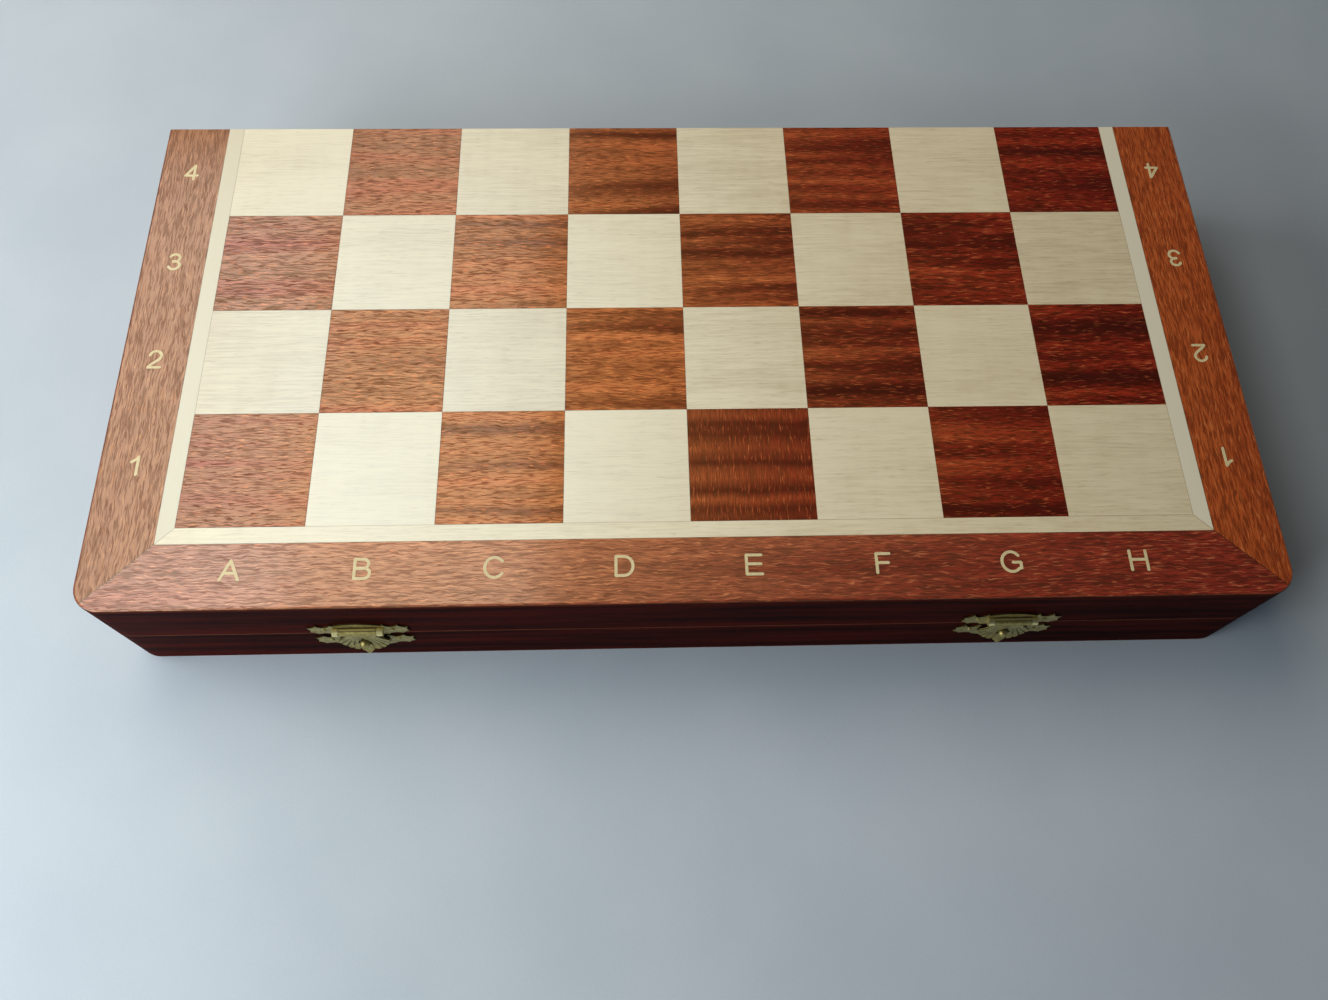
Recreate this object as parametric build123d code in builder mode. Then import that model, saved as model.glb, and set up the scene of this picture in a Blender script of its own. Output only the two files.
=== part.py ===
from build123d import *
import os
from math import sqrt

# Folding chess case: two shallow wooden trays, hinged along the back and latched at the front. Each tray's
# outer face is half of an inlaid chessboard. It is modelled closed, lying on the half with ranks 5 to 8.
# X runs along the files A to H, +Y goes back to the hinges and +Z up. The origin is the middle of the
# case's footprint on the table. Sizes are in millimetres.

# Playing field
SQUARE = 55.0
FILES = 8
RANKS = 4
STRINGING = 7.5
SIDE_BORDER = 30.2
FRONT_BORDER = 29.5
GLUE_LINE = 0.05
VENEER = 0.6

# Trays
PANEL = 2.0
WALL = 9.0
WALL_HEIGHT = 30.8
CORNER_RADIUS = 12.0
FACE_ROUNDING = 1.0
EDGE_BREAK = 0.3
FINGERS = 5
SEAM_GAP = 0.2
FOLD_GAP = 0.2

# Inside
FELT = 1.0
FELT_CLEARANCE = 0.3
DIVIDER = 4.0
DIVIDER_DROP = 4.0
SLOT_CLEARANCE = 0.1

# Hinges, let into the rims of the back walls
HINGE_X = 150.0
LEAF_LENGTH = 50.0
LEAF_WIDTH = 8.0
LEAF = 1.2
KNUCKLES = 5
KNUCKLE_RADIUS = 2.3
KNUCKLE_GAP = 0.1
KNUCKLE_CLEARANCE = 0.3
HINGE_PIN_RADIUS = 1.1
SCREWS = 3
SCREW_PITCH = 17.0
SCREW_RADIUS = 1.1
SCREW_HEAD_RADIUS = 2.2
SCREW_LENGTH = 12.0
SCREW_SLOT = 0.5
COUNTERSINK = 45
POCKET_CLEARANCE = 0.2

# Latches: an upper plate that carries the hasp, and a lower plate with the ball stud
LEFT_LATCH_X = -145.2
RIGHT_LATCH_X = 142.4
LATCH_ABOVE_SEAM = 7.3
PLATE = 0.8
BARREL_RADIUS = 1.9
BARREL_LENGTH = 16.3
BARREL_STANDOFF = 0.2
EAR_RADIUS = 2.0
EAR_LENGTH = 2.6
EAR_GAP = 0.2
LATCH_PIN_RADIUS = 0.8
SHEET = 0.8
SHEET_STANDOFF = 1.9
NECK_HALF_WIDTH = 5.9
FAN_SHOULDER = (11.0, -11.3)
FAN_VALLEYS = ((10.6, -15.2), (8.7, -18.2), (6.4, -20.3), (3.2, -21.1))
LOBE_BULGE = 0.5
FLARE_HOLLOW = 0.5
FLUTE_DEPTH = 0.3
FLUTE_WIDTH = 0.9
FLUTE_START = 0.42
TAB_TIP = -24.5
TAB_TIP_HALF_WIDTH = 1.2
TAB_TIP_SLANT = 0.6
TAB_FLARE = 1.9
BALL_RADIUS = 2.2
BALL_DROP = 14.1
BALL_STANDOFF = 3.0
STUD_RADIUS = 1.3
STUD_LENGTH = 6.0
EYE_RADIUS = 2.6
EYE_TOP = -7.0
UPPER_WING_TIP = 4.8
LOWER_WING_TIP = -9.2
# Points of the plates' right halves, as the distance from the latch's middle and the height from the upper
# prongs. Each scallop of a wing gives where its arc passes and the prong where it ends.
WING_START = (11.4, 0.0)
WING_SCALLOPS = (
    ((14.6, -2.8), (17.7, 0.0)),
    ((19.1, -2.7), (21.8, -3.0)),
    ((20.9, -5.6), (21.7, -8.2)),
    ((19.7, -9.4), (18.5, -11.2)),
    ((15.3, -10.1), (12.2, -12.0)),
)
UPPER_CROWN = (0.0, 1.1)
UPPER_SHOULDER = (10.4, -1.2)
LOWER_SLOT = ((0.0, -1.0), (5.4, -1.0), (5.4, -6.8), (11.4, -7.4), (10.4, -1.2), WING_START)
LOWER_APRON = ((9.0, -13.4), (0.0, -14.2), LOWER_SLOT[0])
NAIL_PLACE = (14.8, -5.4)
NAIL_RADIUS = 0.6
NAIL_HEAD_RADIUS = 1.0
NAIL_HEAD = 0.5
NAIL_LENGTH = 7.0

# Fits
RUNNING_FIT = 0.05
TIGHT_FIT = 0.02

# Worked out from the sizes above
FIELD_X = FILES * SQUARE / 2
LENGTH = 2 * (FIELD_X + STRINGING + SIDE_BORDER)
WIDTH = RANKS * SQUARE + STRINGING + FRONT_BORDER
FRONT = -WIDTH / 2
BACK = WIDTH / 2
STRINGING_FRONT = FRONT + FRONT_BORDER
FIELD_FRONT = STRINGING_FRONT + STRINGING
FACING = VENEER + PANEL
MID = FACING + WALL_HEIGHT + SEAM_GAP / 2
HEIGHT = 2 * MID
HINGE_Y = BACK + FOLD_GAP / 2
DIVIDER_HEIGHT = WALL_HEIGHT - FELT - DIVIDER_DROP
CELL = (LENGTH - 2 * WALL) / FILES
LATCH_Z = MID + LATCH_ABOVE_SEAM
BARREL_AXIS = BARREL_RADIUS + BARREL_STANDOFF
HALVES = ((-1, "lower"), (1, "upper"))
SIDES = ((-1, "left"), (1, "right"))
LATCHES = ((LEFT_LATCH_X, "left"), (RIGHT_LATCH_X, "right"))


def save(builder, name):
    builder.part.label = name
    export_step(builder.part, f"parts/{name}.step")


def rim_level(side):
    """Height of a tray's rim, for side -1 (lower tray) or +1 (upper tray)."""
    return MID + side * SEAM_GAP / 2


def face_level(side, depth=0.0):
    """Height of a point that lies this deep under a tray's playing face."""
    return MID + side * (HEIGHT / 2 - depth)


def footprint():
    """Case outline from above: the two front corners are round, the two at the fold are square."""
    Rectangle(LENGTH, WIDTH)
    fillet(vertices().group_by(Axis.Y)[0], CORNER_RADIUS)


def softened_block(level, height, rounding):
    """Solid block of the case's outline, which the trays' pieces are cut to. Its edges get a small break, and
    those of its far end this rounding. The edges at the fold stay sharp, so the opened board has no gap."""
    with BuildPart() as block:
        with BuildSketch(Plane.XY.offset(level)):
            footprint()
        extrude(amount=height)
        ends = block.faces().filter_by(Axis.Z).sort_by(Axis.Z, reverse=height < 0)
        fillet(ends[0].edges().sort_by(Axis.Y)[:-1], EDGE_BREAK)
        ends = block.faces().filter_by(Axis.Z).sort_by(Axis.Z, reverse=height < 0)
        fillet(ends[-1].edges().sort_by(Axis.Y)[:-1], rounding)
    return block.part


def facing_block(side):
    """The space of a tray's panel and veneers."""
    return softened_block(face_level(side, FACING), side * FACING, FACE_ROUNDING)


def at_left(corners):
    """The same corners on the left-hand side."""
    return [(-x, y) for x, y in corners]


# Board panel, which closes the tray
def make_panel(side, half):
    with BuildPart() as panel:
        with BuildSketch(Plane.XY.offset(face_level(side, FACING))):
            footprint()
        extrude(amount=side * PANEL)
        add(facing_block(side), mode=Mode.INTERSECT)
    save(panel, f"{half}_panel")


# Veneer squares: a1, at the front left of the upper face, is dark, and ranks 5 to 8 go on below
def make_squares(side, half):
    block = facing_block(side)
    for tone, name in ((0, "dark"), (1, "light")):
        with BuildPart() as squares:
            with BuildSketch(Plane.XY.offset(face_level(side, VENEER))):
                for file in range(FILES):
                    for row in range(RANKS):
                        rank = row if side > 0 else 2 * RANKS - 1 - row
                        if (file + rank) % 2 == tone:
                            middle = ((file + 0.5) * SQUARE - FIELD_X, FIELD_FRONT + (row + 0.5) * SQUARE)
                            with Locations(middle):
                                Rectangle(SQUARE - GLUE_LINE, SQUARE - GLUE_LINE)
            extrude(amount=side * VENEER)
            add(block, mode=Mode.INTERSECT)
        save(squares, f"{half}_{name}_squares")


# Mitred veneer strips round three sides of the field
def make_strip(side, outlines, name):
    block = facing_block(side)
    with BuildPart() as strip:
        for outline in outlines:
            with BuildSketch(Plane.XY.offset(face_level(side, VENEER))):
                Polygon(*outline, align=None)
                offset(amount=-GLUE_LINE / 2, kind=Kind.INTERSECTION)
            extrude(amount=side * VENEER)
        add(block, mode=Mode.INTERSECT)
    save(strip, name)


def make_stringing_and_borders(side, half):
    inner = (FIELD_X, FIELD_FRONT)
    middle = (FIELD_X + STRINGING, STRINGING_FRONT)
    outer = (LENGTH / 2, FRONT)
    front_string = [(-middle[0], middle[1]), middle, inner, (-inner[0], inner[1])]
    side_string = [middle, (middle[0], BACK), (inner[0], BACK), inner]
    front_border = [(-outer[0], outer[1]), outer, middle, (-middle[0], middle[1])]
    side_border = [outer, (outer[0], BACK), (middle[0], BACK), middle]
    make_strip(side, (front_string, side_string, at_left(side_string)), f"{half}_stringing")
    make_strip(side, (front_border,), f"{half}_front_border")
    make_strip(side, (side_border,), f"{half}_right_border")
    make_strip(side, (at_left(side_border),), f"{half}_left_border")


# Wall of a tray with its corner fingers: middle, size and fingers are seen from above
def make_wall(side, name, middle, size, finger_places, first_finger, cuts):
    rim = rim_level(side)
    finger = WALL_HEIGHT / FINGERS
    with BuildPart() as wall:
        with BuildSketch(Plane.XY.offset(rim)):
            with Locations(middle):
                Rectangle(*size)
        extrude(amount=side * WALL_HEIGHT)
        for layer in range(first_finger, FINGERS, 2):
            with BuildSketch(Plane.XY.offset(rim + side * layer * finger)):
                with Locations(*finger_places):
                    Rectangle(WALL, WALL)
            extrude(amount=side * finger)
        add(softened_block(rim, side * WALL_HEIGHT, EDGE_BREAK), mode=Mode.INTERSECT)
        for cut in cuts:
            add(cut, mode=Mode.SUBTRACT)
    save(wall, name)


def make_walls(side, half):
    corner_x = LENGTH / 2 - WALL / 2
    corner_y = BACK - WALL / 2
    long_size = (LENGTH - 2 * WALL, WALL)
    short_size = (WALL, WIDTH - 2 * WALL)
    front_ends = [(-corner_x, -corner_y), (corner_x, -corner_y)]
    back_ends = [(-corner_x, corner_y), (corner_x, corner_y)]
    latch_cuts = [latch_holes(side, x) for x, _ in LATCHES]
    hinge_cuts = [hinge_pocket(side, x * HINGE_X) for x, _ in SIDES]
    make_wall(side, f"{half}_front_wall", (0, -corner_y), long_size, front_ends, 0, latch_cuts)
    make_wall(side, f"{half}_back_wall", (0, corner_y), long_size, back_ends, 0, hinge_cuts)
    for x, name in SIDES:
        ends = [(x * corner_x, -corner_y), (x * corner_x, corner_y)]
        make_wall(side, f"{half}_{name}_wall", (x * corner_x, 0), short_size, ends, 1, [])


# Felt on the panel's inside
def make_felt(side, half):
    with BuildPart() as felt:
        with BuildSketch(Plane.XY.offset(face_level(side, FACING + FELT))):
            Rectangle(LENGTH - 2 * (WALL + FELT_CLEARANCE), WIDTH - 2 * (WALL + FELT_CLEARANCE))
        extrude(amount=side * FELT)
    save(felt, f"{half}_felt")


# Dividers, halved together where they cross, which stand on the felt
def make_dividers(side, half):
    foot = face_level(side, FACING + FELT)
    halving = foot - side * DIVIDER_HEIGHT / 2
    slot = DIVIDER + 2 * SLOT_CLEARANCE
    with BuildPart() as long_divider:
        with BuildSketch(Plane.XY.offset(foot)):
            Rectangle(LENGTH - 2 * WALL, DIVIDER)
        extrude(amount=-side * DIVIDER_HEIGHT)
        with BuildSketch(Plane.XY.offset(halving)):
            with GridLocations(CELL, 1, FILES - 1, 1):
                Rectangle(slot, DIVIDER)
        extrude(amount=-side * DIVIDER_HEIGHT / 2, mode=Mode.SUBTRACT)
    save(long_divider, f"{half}_long_divider")
    with BuildPart() as cross_dividers:
        with BuildSketch(Plane.XY.offset(foot)):
            with GridLocations(CELL, 1, FILES - 1, 1):
                Rectangle(DIVIDER, WIDTH - 2 * WALL)
        extrude(amount=-side * DIVIDER_HEIGHT)
        with BuildSketch(Plane.XY.offset(foot)):
            with GridLocations(CELL, 1, FILES - 1, 1):
                Rectangle(DIVIDER, slot)
        extrude(amount=-side * DIVIDER_HEIGHT / 2, mode=Mode.SUBTRACT)
    save(cross_dividers, f"{half}_cross_dividers")


# Butt hinges
def hinge_plane(side, x):
    """On a rim above or below the pin, with +Z into the tray and +X across the case."""
    return Plane(origin=(x, HINGE_Y, rim_level(side)), x_dir=(1, 0, 0), z_dir=(0, 0, side))


def pin_plane(x, y, z):
    """Looks along a pin's axis, which runs across the case."""
    return Plane(origin=(x, y, z), x_dir=(0, 1, 0), z_dir=(1, 0, 0))


def leaf_screw_places(side):
    """Screw places on a hinge plane: a row along the middle of the leaf's flat."""
    row = (KNUCKLE_RADIUS + LEAF_WIDTH) / 2
    return [((n - (SCREWS - 1) / 2) * SCREW_PITCH, -side * row) for n in range(SCREWS)]


def knuckle_offsets(first):
    pitch = LEAF_LENGTH / KNUCKLES
    return [(n - (KNUCKLES - 1) / 2) * pitch for n in range(first, KNUCKLES, 2)]


def rods(x, offsets, radius, length, mode=Mode.ADD):
    """Round rods on the hinge axis, at these offsets from the hinge's middle."""
    for shift in offsets:
        with BuildSketch(pin_plane(x + shift, HINGE_Y, MID)) as section:
            Circle(radius)
        extrude(section.sketch, amount=length / 2, both=True, mode=mode)


def hinge_pocket(side, x):
    """What a hinge takes out of a back wall: leaf pocket, knuckle groove and pilot holes."""
    clearance = POCKET_CLEARANCE
    with BuildPart() as pocket:
        with BuildSketch(hinge_plane(side, x)):
            with Locations((0, -side * (LEAF_WIDTH + clearance) / 2)):
                Rectangle(LEAF_LENGTH + 2 * clearance, LEAF_WIDTH + clearance)
        extrude(amount=LEAF)
        with BuildSketch(hinge_plane(side, x)):
            with Locations(*leaf_screw_places(side)):
                Circle(SCREW_RADIUS + TIGHT_FIT)
        extrude(amount=SCREW_LENGTH)
        rods(x, [0], KNUCKLE_RADIUS + KNUCKLE_CLEARANCE, LEAF_LENGTH + 2 * clearance)
    return pocket.part


def make_leaf(side, half, x, name):
    pitch = LEAF_LENGTH / KNUCKLES
    own = knuckle_offsets(0 if side < 0 else 1)
    other = knuckle_offsets(1 if side < 0 else 0)
    bore = HINGE_PIN_RADIUS + (TIGHT_FIT if side < 0 else RUNNING_FIT)
    with BuildPart() as leaf:
        with BuildSketch(hinge_plane(side, x)):
            with Locations((0, -side * LEAF_WIDTH / 2)):
                Rectangle(LEAF_LENGTH, LEAF_WIDTH)
        extrude(amount=LEAF)
        rods(x, other, KNUCKLE_RADIUS + KNUCKLE_CLEARANCE, pitch + 2 * KNUCKLE_GAP, Mode.SUBTRACT)
        rods(x, own, KNUCKLE_RADIUS, pitch - KNUCKLE_GAP)
        rods(x, [0], bore, LEAF_LENGTH, Mode.SUBTRACT)
        with BuildSketch(hinge_plane(side, x)):
            with Locations(*leaf_screw_places(side)):
                Circle(SCREW_HEAD_RADIUS + TIGHT_FIT)
        extrude(amount=LEAF, taper=COUNTERSINK, mode=Mode.SUBTRACT)
        with BuildSketch(hinge_plane(side, x)):
            with Locations(*leaf_screw_places(side)):
                Circle(SCREW_RADIUS + TIGHT_FIT)
        extrude(amount=LEAF, mode=Mode.SUBTRACT)
    save(leaf, f"{name}_hinge_{half}_leaf")


def make_screws(side, half, x, name):
    cone = SCREW_HEAD_RADIUS - SCREW_RADIUS
    with BuildPart(hinge_plane(side, x)) as screws:
        with Locations(*leaf_screw_places(side)):
            Cone(SCREW_HEAD_RADIUS, SCREW_RADIUS, cone, align=(Align.CENTER, Align.CENTER, Align.MIN))
            Cylinder(SCREW_RADIUS, SCREW_LENGTH, align=(Align.CENTER, Align.CENTER, Align.MIN))
            Box(2 * SCREW_HEAD_RADIUS, SCREW_SLOT, SCREW_SLOT, mode=Mode.SUBTRACT)
    save(screws, f"{name}_hinge_{half}_screws")


def make_hinge(x, name):
    for side, half in HALVES:
        make_leaf(side, half, x, name)
        make_screws(side, half, x, name)
    with BuildPart() as pin:
        rods(x, [0], HINGE_PIN_RADIUS, LEAF_LENGTH)
    save(pin, f"{name}_hinge_pin")


# Latches
def latch_plane(x):
    """On the front face at a hasp's pin: local X across, Y up, Z out of the wall."""
    return Plane(origin=(x, FRONT, LATCH_Z), x_dir=(1, 0, 0), z_dir=(0, -1, 0))


def side_plane(x):
    """Side view of a latch: local X out of the wall, Y up."""
    return Plane(origin=(x, FRONT, LATCH_Z), x_dir=(0, -1, 0), z_dir=(-1, 0, 0))


def wing_tip(side):
    return UPPER_WING_TIP if side > 0 else LOWER_WING_TIP


def nail_places(side):
    x, y = NAIL_PLACE
    return [(-x, wing_tip(side) + y), (x, wing_tip(side) + y)]


def latch_holes(side, x):
    """Pilot holes of a latch plate in a front wall."""
    with BuildPart() as holes:
        with BuildSketch(latch_plane(x)):
            with Locations(*nail_places(side)):
                Circle(NAIL_RADIUS + TIGHT_FIT)
        extrude(amount=-NAIL_LENGTH)
        if side < 0:
            with BuildSketch(latch_plane(x)):
                with Locations((0, -BALL_DROP)):
                    Circle(STUD_RADIUS + TIGHT_FIT)
            extrude(amount=-STUD_LENGTH)
    return holes.part


def from_tip(side, points):
    """Points of a plate, from their heights above the prongs of its wing."""
    return [(x, wing_tip(side) + y) for x, y in points]


def wing(side):
    """Scalloped edge of the right-hand wing, from its inner upper prong to its inner lower corner."""
    start = from_tip(side, (WING_START,))[0]
    for scallop in WING_SCALLOPS:
        via, end = from_tip(side, scallop)
        ThreePointArc(start, via, end)
        start = end
    return start


def mirrored_face(outline):
    """Face of the right half's outline and its mirror image."""
    make_face(outline.edges())
    mirror(about=Plane.YZ)


def upper_plate_outline():
    inside = BARREL_LENGTH / 2 + EAR_GAP
    notch = EAR_RADIUS + EAR_GAP
    crown, shoulder, start = from_tip(1, (UPPER_CROWN, UPPER_SHOULDER, WING_START))
    with BuildLine() as outline:
        TangentArc(crown, shoulder, tangent=(1, 0))
        Line(shoulder, start)
        foot = wing(1)
        Polyline(foot, (inside, foot[1]), (inside, notch), (0, notch), crown)
    mirrored_face(outline)


def lower_plate_outline():
    """Two wings joined by an apron, with a tongue that holds the ball stud between two slots."""
    with BuildLine() as outline:
        Polyline(*from_tip(-1, LOWER_SLOT))
        foot = wing(-1)
        Polyline(foot, *from_tip(-1, LOWER_APRON))
    mirrored_face(outline)


def make_plate(side, half, x, name):
    inside = BARREL_LENGTH / 2 + EAR_GAP
    with BuildPart() as plate:
        with BuildSketch(latch_plane(x)):
            if side > 0:
                upper_plate_outline()
            else:
                lower_plate_outline()
        extrude(amount=PLATE)
        if side > 0:
            for end in (-1, 1):
                middle = x + end * (inside + EAR_LENGTH / 2)
                with BuildSketch(pin_plane(middle, FRONT - BARREL_AXIS, LATCH_Z)):
                    Circle(EAR_RADIUS)
                extrude(amount=EAR_LENGTH / 2, both=True)
            with BuildSketch(pin_plane(x, FRONT - BARREL_AXIS, LATCH_Z)):
                Circle(LATCH_PIN_RADIUS + TIGHT_FIT)
            extrude(amount=inside + EAR_LENGTH, both=True, mode=Mode.SUBTRACT)
        else:
            with BuildSketch(latch_plane(x)):
                with Locations((0, -BALL_DROP)):
                    Circle(STUD_RADIUS + TIGHT_FIT)
            extrude(amount=PLATE, mode=Mode.SUBTRACT)
        with BuildSketch(latch_plane(x)):
            with Locations(*nail_places(side)):
                Circle(NAIL_RADIUS + TIGHT_FIT)
        extrude(amount=PLATE, mode=Mode.SUBTRACT)
    save(plate, f"{name}_latch_{half}_plate")


def make_nails(side, half, x, name):
    with BuildPart(latch_plane(x)) as nails:
        with Locations(*nail_places(side)):
            with Locations((0, 0, PLATE)):
                Cylinder(NAIL_HEAD_RADIUS, NAIL_HEAD, align=(Align.CENTER, Align.CENTER, Align.MIN))
                Cylinder(NAIL_RADIUS, PLATE + NAIL_LENGTH, align=(Align.CENTER, Align.CENTER, Align.MAX))
        crowns = nails.edges().filter_by(GeomType.CIRCLE).group_by(Axis.Y)[0]
        fillet(crowns, NAIL_HEAD / 2)
    save(nails, f"{name}_latch_{half}_nails")


def sheet_path(shift):
    """Side view of the hasp's sheet: straight down from the barrel, then flared out at the tab."""
    top = (SHEET_STANDOFF + SHEET / 2 + shift, -BARREL_RADIUS * 2 / 3)
    bend = (top[0], FAN_VALLEYS[0][1])
    with BuildLine() as path:
        Line(top, bend)
        TangentArc(bend, (top[0] + TAB_FLARE, TAB_TIP), tangent=(0, -1))
    return path.line


def sheet_band(x, shift, thickness):
    """Bent strip as wide as the whole latch, which the hasp and its flutes are cut from."""
    with BuildPart() as band:
        with BuildSketch(side_plane(x)):
            trace(sheet_path(shift), thickness)
        extrude(amount=WING_SCALLOPS[1][1][0], both=True)
    return band.part


def fan_outline():
    """Hasp from the front: strip under the barrel, neck, scalloped fan and finger tab."""
    strip = (BARREL_LENGTH / 2 - EAR_GAP, -BARREL_RADIUS)
    neck = (NECK_HALF_WIDTH, strip[1] - BARREL_RADIUS)
    focus = Vector(0, neck[1])
    with BuildLine() as outline:
        Line((0, 0), (strip[0], 0))
        Line((strip[0], 0), strip)
        Line(strip, neck)
        flare = (Vector(*neck) + Vector(*FAN_SHOULDER)) / 2 - Vector(FLARE_HOLLOW, 0)
        ThreePointArc(neck, flare, FAN_SHOULDER)
        start = FAN_SHOULDER
        for end in FAN_VALLEYS:
            middle = (Vector(*start) + Vector(*end)) / 2
            outward = (middle - focus).normalized()
            ThreePointArc(start, middle + outward * LOBE_BULGE, end)
            start = end
        tip = (TAB_TIP_HALF_WIDTH, TAB_TIP + TAB_TIP_HALF_WIDTH)
        Line(start, tip)
        TangentArc(tip, (0, TAB_TIP), tangent=(-TAB_TIP_SLANT, -1))
        Line((0, TAB_TIP), (0, 0))
    mirrored_face(outline)


def flute_outlines():
    """Narrow wedges from the neck past the valleys between the lobes."""
    for end in FAN_VALLEYS:
        start = Vector(end[0] * FLUTE_START, EYE_TOP)
        along = (Vector(*end) - start).normalized()
        across = Vector(-along.Y, along.X) * FLUTE_WIDTH / 2
        past = Vector(*end) + along * FLUTE_WIDTH
        wedge = (start, past + across, past - across)
        for hand in (-1, 1):
            Polygon(*[(hand * corner.X, corner.Y) for corner in wedge], align=None)


def eye_outline():
    """Drop-shaped hole that snaps over the ball: its sides leave the round part at a tangent."""
    share = EYE_RADIUS / (BALL_DROP + EYE_TOP)
    flank = (EYE_RADIUS * sqrt(1 - share**2), EYE_RADIUS * share - BALL_DROP)
    with BuildLine() as outline:
        Line((0, EYE_TOP), flank)
        ThreePointArc(flank, (0, -BALL_DROP - EYE_RADIUS), (-flank[0], flank[1]))
        Line((-flank[0], flank[1]), (0, EYE_TOP))
    make_face(outline.edges())


def make_hasp(x, name):
    reach = SHEET_STANDOFF + SHEET + 2 * TAB_FLARE
    with BuildPart() as flutes:
        with BuildSketch(latch_plane(x)):
            flute_outlines()
        extrude(amount=reach)
        add(sheet_band(x, SHEET / 2, 2 * FLUTE_DEPTH), mode=Mode.INTERSECT)
    with BuildPart() as hasp:
        with BuildSketch(latch_plane(x)):
            fan_outline()
        extrude(amount=reach)
        add(sheet_band(x, 0, SHEET), mode=Mode.INTERSECT)
        add(flutes.part, mode=Mode.SUBTRACT)
        with BuildSketch(pin_plane(x, FRONT - BARREL_AXIS, LATCH_Z)):
            Circle(BARREL_RADIUS)
        extrude(amount=BARREL_LENGTH / 2, both=True)
        with BuildSketch(pin_plane(x, FRONT - BARREL_AXIS, LATCH_Z)):
            Circle(LATCH_PIN_RADIUS + RUNNING_FIT)
        extrude(amount=BARREL_LENGTH / 2, both=True, mode=Mode.SUBTRACT)
        with BuildSketch(latch_plane(x)):
            eye_outline()
        extrude(amount=reach, mode=Mode.SUBTRACT)
    save(hasp, f"{name}_latch_hasp")


def make_ball_stud(x, name):
    with BuildPart(latch_plane(x)) as stud:
        with Locations((0, -BALL_DROP, -STUD_LENGTH)):
            Cylinder(STUD_RADIUS, STUD_LENGTH + BALL_STANDOFF, align=(Align.CENTER, Align.CENTER, Align.MIN))
        with Locations((0, -BALL_DROP, BALL_STANDOFF)):
            Sphere(BALL_RADIUS)
    save(stud, f"{name}_latch_ball_stud")


def make_latch(x, name):
    for side, half in HALVES:
        make_plate(side, half, x, name)
        make_nails(side, half, x, name)
    make_hasp(x, name)
    make_ball_stud(x, name)
    with BuildPart() as pin:
        with BuildSketch(pin_plane(x, FRONT - BARREL_AXIS, LATCH_Z)):
            Circle(LATCH_PIN_RADIUS)
        extrude(amount=BARREL_LENGTH / 2 + EAR_GAP + EAR_LENGTH, both=True)
    save(pin, f"{name}_latch_pin")


os.makedirs("parts", exist_ok=True)
for side, half in HALVES:
    make_panel(side, half)
    make_squares(side, half)
    make_stringing_and_borders(side, half)
    make_walls(side, half)
    make_felt(side, half)
    make_dividers(side, half)
for side, name in SIDES:
    make_hinge(side * HINGE_X, name)
for x, name in LATCHES:
    make_latch(x, name)
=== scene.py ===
import bpy
from math import atan2, cos, pi, radians, sin
from mathutils import Matrix, Vector


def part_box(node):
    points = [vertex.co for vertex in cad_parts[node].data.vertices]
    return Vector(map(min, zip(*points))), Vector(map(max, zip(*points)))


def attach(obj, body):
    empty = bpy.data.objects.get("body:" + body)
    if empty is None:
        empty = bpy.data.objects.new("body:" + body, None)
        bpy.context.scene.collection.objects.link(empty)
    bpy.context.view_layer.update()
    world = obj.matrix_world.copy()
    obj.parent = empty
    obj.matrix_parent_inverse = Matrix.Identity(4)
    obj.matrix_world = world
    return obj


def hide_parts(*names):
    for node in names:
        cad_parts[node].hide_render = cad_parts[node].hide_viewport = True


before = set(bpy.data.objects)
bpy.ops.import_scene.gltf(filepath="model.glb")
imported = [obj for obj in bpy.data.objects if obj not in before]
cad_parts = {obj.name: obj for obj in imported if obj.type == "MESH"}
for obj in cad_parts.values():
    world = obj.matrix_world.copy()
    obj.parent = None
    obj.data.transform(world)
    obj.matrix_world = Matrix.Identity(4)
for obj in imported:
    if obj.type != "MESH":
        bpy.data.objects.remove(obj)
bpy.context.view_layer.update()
MM = 0.001


# Table top: a pale, cool grey board with a thin lacquer, in which the case's front shows as a soft
# dark blur. The classes that all finishes are written with are here too, before the first finish.
class Wire:
    """A value or colour on its way through a finish. Sums and products of wires add their nodes."""

    def __init__(self, tree, socket):
        self.tree = tree
        self.socket = socket

    def node(self, kind, sockets, settings=None, stops=None, out=0):
        """Any node of the same finish, with its settings and the values or wires of its sockets."""
        made = self.tree.nodes.new("ShaderNode" + kind)
        for key, value in (settings or {}).items():
            setattr(made, key, value)
        if stops:
            ramp = made.color_ramp.elements
            while len(ramp) < len(stops):
                ramp.new(0.5)
            for stop, (place, colour) in zip(ramp, stops):
                stop.position = place
                stop.color = colour
        for key, value in sockets.items():
            if isinstance(value, Wire):
                self.tree.links.new(value.socket, made.inputs[key])
            else:
                made.inputs[key].default_value = value
        return Wire(self.tree, made.outputs[out])

    def maths(self, operation, *others):
        return self.node("Math", dict(enumerate((self, *others))), {"operation": operation})

    def __add__(self, other):
        return self.maths("ADD", other)

    def __sub__(self, other):
        return self.maths("SUBTRACT", other)

    def __mul__(self, other):
        return self.maths("MULTIPLY", other)

    def __truediv__(self, other):
        return self.maths("DIVIDE", other)

    def __rsub__(self, other):
        return self.node("Math", {0: other, 1: self}, {"operation": "SUBTRACT"})

    def above(self, low, high):
        """0 below the first value, 1 above the second, and smooth between them."""
        sockets = {0: self, 1: low, 2: high}
        return self.node("MapRange", sockets, {"interpolation_type": "SMOOTHSTEP"})

    def pick(self, first, second):
        """The first value where this wire is 0, and the second where it is 1."""
        return self.node("MapRange", {0: self, 3: first, 4: second})

    def blend(self, first, second):
        """Colour between two others, with this wire as the share of the second."""
        return self.node("Mix", {0: self, 6: first, 7: second}, {"data_type": "RGBA"}, out=2)


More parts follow.
